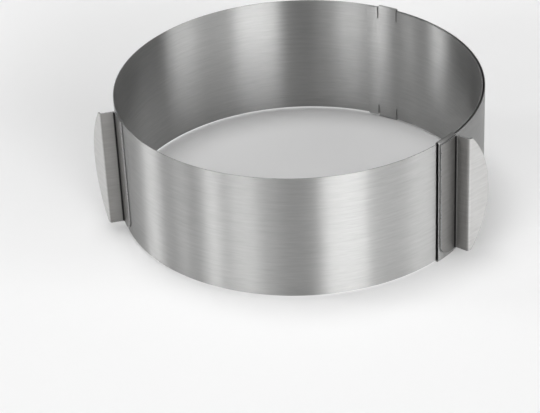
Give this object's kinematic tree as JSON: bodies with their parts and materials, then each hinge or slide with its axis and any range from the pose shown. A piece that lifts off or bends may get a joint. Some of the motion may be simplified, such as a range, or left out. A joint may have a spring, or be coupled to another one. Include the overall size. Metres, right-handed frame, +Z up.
{
  "type": "adjustable cake ring",
  "caption": "Open ring mould of thin steel strip whose overlapping ends slide in folded hooks, closed or opened by its bent plate handles.",
  "frame": {"origin": "centre of the box that holds the ring and its handles, on the surface that the ring stands on", "axes": "+Z up along the ring's axis, +Y from the handles' side at the front to the back, +X to the right, towards the strip's outer end and the right handle"},
  "size_m": [0.2558, 0.2401, 0.0878],
  "materials": {
    "strip_steel": "thin stainless strip, finely brushed along its length",
    "handle_steel": "bent stainless plate, satin brushed across the lip"
  },
  "bodies": {
    "strip_01": {"strip_01": "strip_steel", "handle_right": "handle_steel"},
    "strip_02": {"strip_02": "strip_steel"},
    "strip_03": {"strip_03": "strip_steel"},
    "strip_04": {"strip_04": "strip_steel"},
    "strip_05": {"strip_05": "strip_steel"},
    "strip_06": {"strip_06": "strip_steel"},
    "strip_07": {"strip_07": "strip_steel"},
    "strip_08": {"strip_08": "strip_steel"},
    "strip_09": {"strip_09": "strip_steel"},
    "strip_10": {"strip_10": "strip_steel"},
    "strip_11": {"strip_11": "strip_steel"},
    "strip_12": {"strip_12": "strip_steel"},
    "strip_13": {"strip_13": "strip_steel"},
    "strip_14": {"strip_14": "strip_steel"},
    "strip_15": {"strip_15": "strip_steel"},
    "strip_16": {"strip_16": "strip_steel"},
    "strip_17": {"strip_17": "strip_steel"},
    "strip_18": {"strip_18": "strip_steel"},
    "strip_19": {"strip_19": "strip_steel"},
    "strip_20": {"strip_20": "strip_steel", "handle_left": "handle_steel"},
    "strip_21": {"strip_21": "strip_steel"},
    "strip_22": {"strip_22": "strip_steel"},
    "strip_23": {"strip_23": "strip_steel"},
    "strip_24": {"strip_24": "strip_steel"},
    "strip_25": {"strip_25": "strip_steel"},
    "strip_26": {"strip_26": "strip_steel"},
    "strip_27": {"strip_27": "strip_steel"},
    "strip_28": {"strip_28": "strip_steel"},
    "strip_29": {"strip_29": "strip_steel"},
    "strip_30": {"strip_30": "strip_steel"},
    "strip_31": {"strip_31": "strip_steel"},
    "strip_32": {"strip_32": "strip_steel"},
    "strip_33": {"strip_33": "strip_steel"},
    "strip_34": {"strip_34": "strip_steel"},
    "strip_35": {"strip_35": "strip_steel"},
    "strip_36": {"strip_36": "strip_steel"},
    "strip_37": {"strip_37": "strip_steel"},
    "strip_38": {"strip_38": "strip_steel"}
  },
  "joints": [
    {"name": "ring_size", "type": "hinge", "parent": "strip_20", "child": "strip_21", "pos_m": [-0.10663, -0.04165, 0.04389], "axis": [0, 0, 1], "range_deg": [-2.48, 5.6]},
    {"name": "band_bend_22", "type": "hinge", "parent": "strip_21", "child": "strip_22", "pos_m": [-0.09514, -0.06481, 0.04389], "axis": [0, 0, 1], "range_deg": [-2.53, 5.66]},
    {"name": "band_bend_23", "type": "hinge", "parent": "strip_22", "child": "strip_23", "pos_m": [-0.07894, -0.08496, 0.04389], "axis": [0, 0, 1], "range_deg": [-2.54, 5.66]},
    {"name": "band_bend_24", "type": "hinge", "parent": "strip_23", "child": "strip_24", "pos_m": [-0.0588, -0.10116, 0.04389], "axis": [0, 0, 1], "range_deg": [-2.54, 5.67]},
    {"name": "band_bend_25", "type": "hinge", "parent": "strip_24", "child": "strip_25", "pos_m": [-0.03565, -0.11265, 0.04389], "axis": [0, 0, 1], "range_deg": [-2.54, 5.67]},
    {"name": "band_bend_26", "type": "hinge", "parent": "strip_25", "child": "strip_26", "pos_m": [-0.01056, -0.11889, 0.04389], "axis": [0, 0, 1], "range_deg": [-2.54, 5.68]},
    {"name": "band_bend_27", "type": "hinge", "parent": "strip_26", "child": "strip_27", "pos_m": [0.01528, -0.1196, 0.04389], "axis": [0, 0, 1], "range_deg": [-2.55, 5.69]},
    {"name": "band_bend_28", "type": "hinge", "parent": "strip_27", "child": "strip_28", "pos_m": [0.04066, -0.11473, 0.04389], "axis": [0, 0, 1], "range_deg": [-2.55, 5.69]},
    {"name": "band_bend_29", "type": "hinge", "parent": "strip_28", "child": "strip_29", "pos_m": [0.06441, -0.10451, 0.04389], "axis": [0, 0, 1], "range_deg": [-2.55, 5.7]},
    {"name": "band_bend_30", "type": "hinge", "parent": "strip_29", "child": "strip_30", "pos_m": [0.08539, -0.08941, 0.04389], "axis": [0, 0, 1], "range_deg": [-2.56, 5.71]},
    {"name": "band_bend_31", "type": "hinge", "parent": "strip_30", "child": "strip_31", "pos_m": [0.10263, -0.07015, 0.04389], "axis": [0, 0, 1], "range_deg": [-2.56, 5.71]},
    {"name": "band_bend_32", "type": "hinge", "parent": "strip_31", "child": "strip_32", "pos_m": [0.11532, -0.04763, 0.04389], "axis": [0, 0, 1], "range_deg": [-2.56, 5.72]},
    {"name": "band_bend_33", "type": "hinge", "parent": "strip_32", "child": "strip_33", "pos_m": [0.12285, -0.0229, 0.04389], "axis": [0, 0, 1], "range_deg": [-2.56, 5.72]},
    {"name": "band_bend_34", "type": "hinge", "parent": "strip_33", "child": "strip_34", "pos_m": [0.12486, 0.00287, 0.04389], "axis": [0, 0, 1], "range_deg": [-2.57, 5.73]},
    {"name": "band_bend_35", "type": "hinge", "parent": "strip_34", "child": "strip_35", "pos_m": [0.12127, 0.02847, 0.04389], "axis": [0, 0, 1], "range_deg": [-2.57, 5.74]},
    {"name": "band_bend_36", "type": "hinge", "parent": "strip_35", "child": "strip_36", "pos_m": [0.11224, 0.05269, 0.04389], "axis": [0, 0, 1], "range_deg": [-2.57, 5.74]},
    {"name": "band_bend_37", "type": "hinge", "parent": "strip_36", "child": "strip_37", "pos_m": [0.09819, 0.07438, 0.04389], "axis": [0, 0, 1], "range_deg": [-2.57, 5.75]},
    {"name": "band_bend_38", "type": "hinge", "parent": "strip_37", "child": "strip_38", "pos_m": [0.07979, 0.09253, 0.04389], "axis": [0, 0, 1], "range_deg": [-2.58, 5.76]},
    {"name": "band_bend_19", "type": "hinge", "parent": "strip_20", "child": "strip_19", "pos_m": [-0.11289, -0.01657, 0.04389], "axis": [0, 0, 1], "range_deg": [-5.64, 2.53]},
    {"name": "band_bend_18", "type": "hinge", "parent": "strip_19", "child": "strip_18", "pos_m": [-0.11361, 0.00927, 0.04389], "axis": [0, 0, 1], "range_deg": [-5.64, 2.52]},
    {"name": "band_bend_17", "type": "hinge", "parent": "strip_18", "child": "strip_17", "pos_m": [-0.10879, 0.03466, 0.04389], "axis": [0, 0, 1], "range_deg": [-5.63, 2.52]},
    {"name": "band_bend_16", "type": "hinge", "parent": "strip_17", "child": "strip_16", "pos_m": [-0.09863, 0.05843, 0.04389], "axis": [0, 0, 1], "range_deg": [-5.62, 2.52]},
    {"name": "band_bend_15", "type": "hinge", "parent": "strip_16", "child": "strip_15", "pos_m": [-0.08361, 0.07947, 0.04389], "axis": [0, 0, 1], "range_deg": [-5.62, 2.52]},
    {"name": "band_bend_14", "type": "hinge", "parent": "strip_15", "child": "strip_14", "pos_m": [-0.06444, 0.09681, 0.04389], "axis": [0, 0, 1], "range_deg": [-5.61, 2.51]},
    {"name": "band_bend_13", "type": "hinge", "parent": "strip_14", "child": "strip_13", "pos_m": [-0.042, 0.10964, 0.04389], "axis": [0, 0, 1], "range_deg": [-5.61, 2.51]},
    {"name": "band_bend_12", "type": "hinge", "parent": "strip_13", "child": "strip_12", "pos_m": [-0.01733, 0.11737, 0.04389], "axis": [0, 0, 1], "range_deg": [-5.6, 2.51]},
    {"name": "band_bend_11", "type": "hinge", "parent": "strip_12", "child": "strip_11", "pos_m": [0.00842, 0.11965, 0.04389], "axis": [0, 0, 1], "range_deg": [-5.59, 2.5]},
    {"name": "band_bend_10", "type": "hinge", "parent": "strip_11", "child": "strip_10", "pos_m": [0.03406, 0.11637, 0.04389], "axis": [0, 0, 1], "range_deg": [-5.59, 2.5]},
    {"name": "band_bend_09", "type": "hinge", "parent": "strip_10", "child": "strip_09", "pos_m": [0.05841, 0.10769, 0.04389], "axis": [0, 0, 1], "range_deg": [-5.58, 2.5]},
    {"name": "band_bend_08", "type": "hinge", "parent": "strip_09", "child": "strip_08", "pos_m": [0.08034, 0.094, 0.04389], "axis": [0, 0, 1], "range_deg": [-5.58, 2.5]},
    {"name": "band_bend_07", "type": "hinge", "parent": "strip_08", "child": "strip_07", "pos_m": [0.09884, 0.07595, 0.04389], "axis": [0, 0, 1], "range_deg": [-5.57, 2.49]},
    {"name": "band_bend_06", "type": "hinge", "parent": "strip_07", "child": "strip_06", "pos_m": [0.11307, 0.05437, 0.04389], "axis": [0, 0, 1], "range_deg": [-5.56, 2.49]},
    {"name": "band_bend_05", "type": "hinge", "parent": "strip_06", "child": "strip_05", "pos_m": [0.12236, 0.03025, 0.04389], "axis": [0, 0, 1], "range_deg": [-5.56, 2.49]},
    {"name": "band_bend_04", "type": "hinge", "parent": "strip_05", "child": "strip_04", "pos_m": [0.1263, 0.0047, 0.04389], "axis": [0, 0, 1], "range_deg": [-5.55, 2.49]},
    {"name": "band_bend_03", "type": "hinge", "parent": "strip_04", "child": "strip_03", "pos_m": [0.12469, -0.0211, 0.04389], "axis": [0, 0, 1], "range_deg": [-5.54, 2.48]},
    {"name": "band_bend_02", "type": "hinge", "parent": "strip_03", "child": "strip_02", "pos_m": [0.11763, -0.04597, 0.04389], "axis": [0, 0, 1], "range_deg": [-5.54, 2.48]},
    {"name": "band_bend_01", "type": "hinge", "parent": "strip_02", "child": "strip_01", "pos_m": [0.10544, -0.06876, 0.04389], "axis": [0, 0, 1], "range_deg": [-5.53, 2.48]}
  ],
  "couplings": [
    {"joint": "band_bend_22", "follows": "ring_size", "ratio": 1.0011},
    {"joint": "band_bend_23", "follows": "ring_size", "ratio": 1.0022},
    {"joint": "band_bend_24", "follows": "ring_size", "ratio": 1.0033},
    {"joint": "band_bend_25", "follows": "ring_size", "ratio": 1.0045},
    {"joint": "band_bend_26", "follows": "ring_size", "ratio": 1.0056},
    {"joint": "band_bend_27", "follows": "ring_size", "ratio": 1.0067},
    {"joint": "band_bend_28", "follows": "ring_size", "ratio": 1.0078},
    {"joint": "band_bend_29", "follows": "ring_size", "ratio": 1.0089},
    {"joint": "band_bend_30", "follows": "ring_size", "ratio": 1.01},
    {"joint": "band_bend_31", "follows": "ring_size", "ratio": 1.0111},
    {"joint": "band_bend_32", "follows": "ring_size", "ratio": 1.0123},
    {"joint": "band_bend_33", "follows": "ring_size", "ratio": 1.0134},
    {"joint": "band_bend_34", "follows": "ring_size", "ratio": 1.0145},
    {"joint": "band_bend_35", "follows": "ring_size", "ratio": 1.0156},
    {"joint": "band_bend_36", "follows": "ring_size", "ratio": 1.0167},
    {"joint": "band_bend_37", "follows": "ring_size", "ratio": 1.0178},
    {"joint": "band_bend_38", "follows": "ring_size", "ratio": 1.0189},
    {"joint": "band_bend_19", "follows": "ring_size", "ratio": -0.99889},
    {"joint": "band_bend_18", "follows": "ring_size", "ratio": -0.99777},
    {"joint": "band_bend_17", "follows": "ring_size", "ratio": -0.99666},
    {"joint": "band_bend_16", "follows": "ring_size", "ratio": -0.99555},
    {"joint": "band_bend_15", "follows": "ring_size", "ratio": -0.99443},
    {"joint": "band_bend_14", "follows": "ring_size", "ratio": -0.99332},
    {"joint": "band_bend_13", "follows": "ring_size", "ratio": -0.9922},
    {"joint": "band_bend_12", "follows": "ring_size", "ratio": -0.99109},
    {"joint": "band_bend_11", "follows": "ring_size", "ratio": -0.98998},
    {"joint": "band_bend_10", "follows": "ring_size", "ratio": -0.98886},
    {"joint": "band_bend_09", "follows": "ring_size", "ratio": -0.98775},
    {"joint": "band_bend_08", "follows": "ring_size", "ratio": -0.98664},
    {"joint": "band_bend_07", "follows": "ring_size", "ratio": -0.98552},
    {"joint": "band_bend_06", "follows": "ring_size", "ratio": -0.98441},
    {"joint": "band_bend_05", "follows": "ring_size", "ratio": -0.98329},
    {"joint": "band_bend_04", "follows": "ring_size", "ratio": -0.98218},
    {"joint": "band_bend_03", "follows": "ring_size", "ratio": -0.98107},
    {"joint": "band_bend_02", "follows": "ring_size", "ratio": -0.97995},
    {"joint": "band_bend_01", "follows": "ring_size", "ratio": -0.97884}
  ]
}
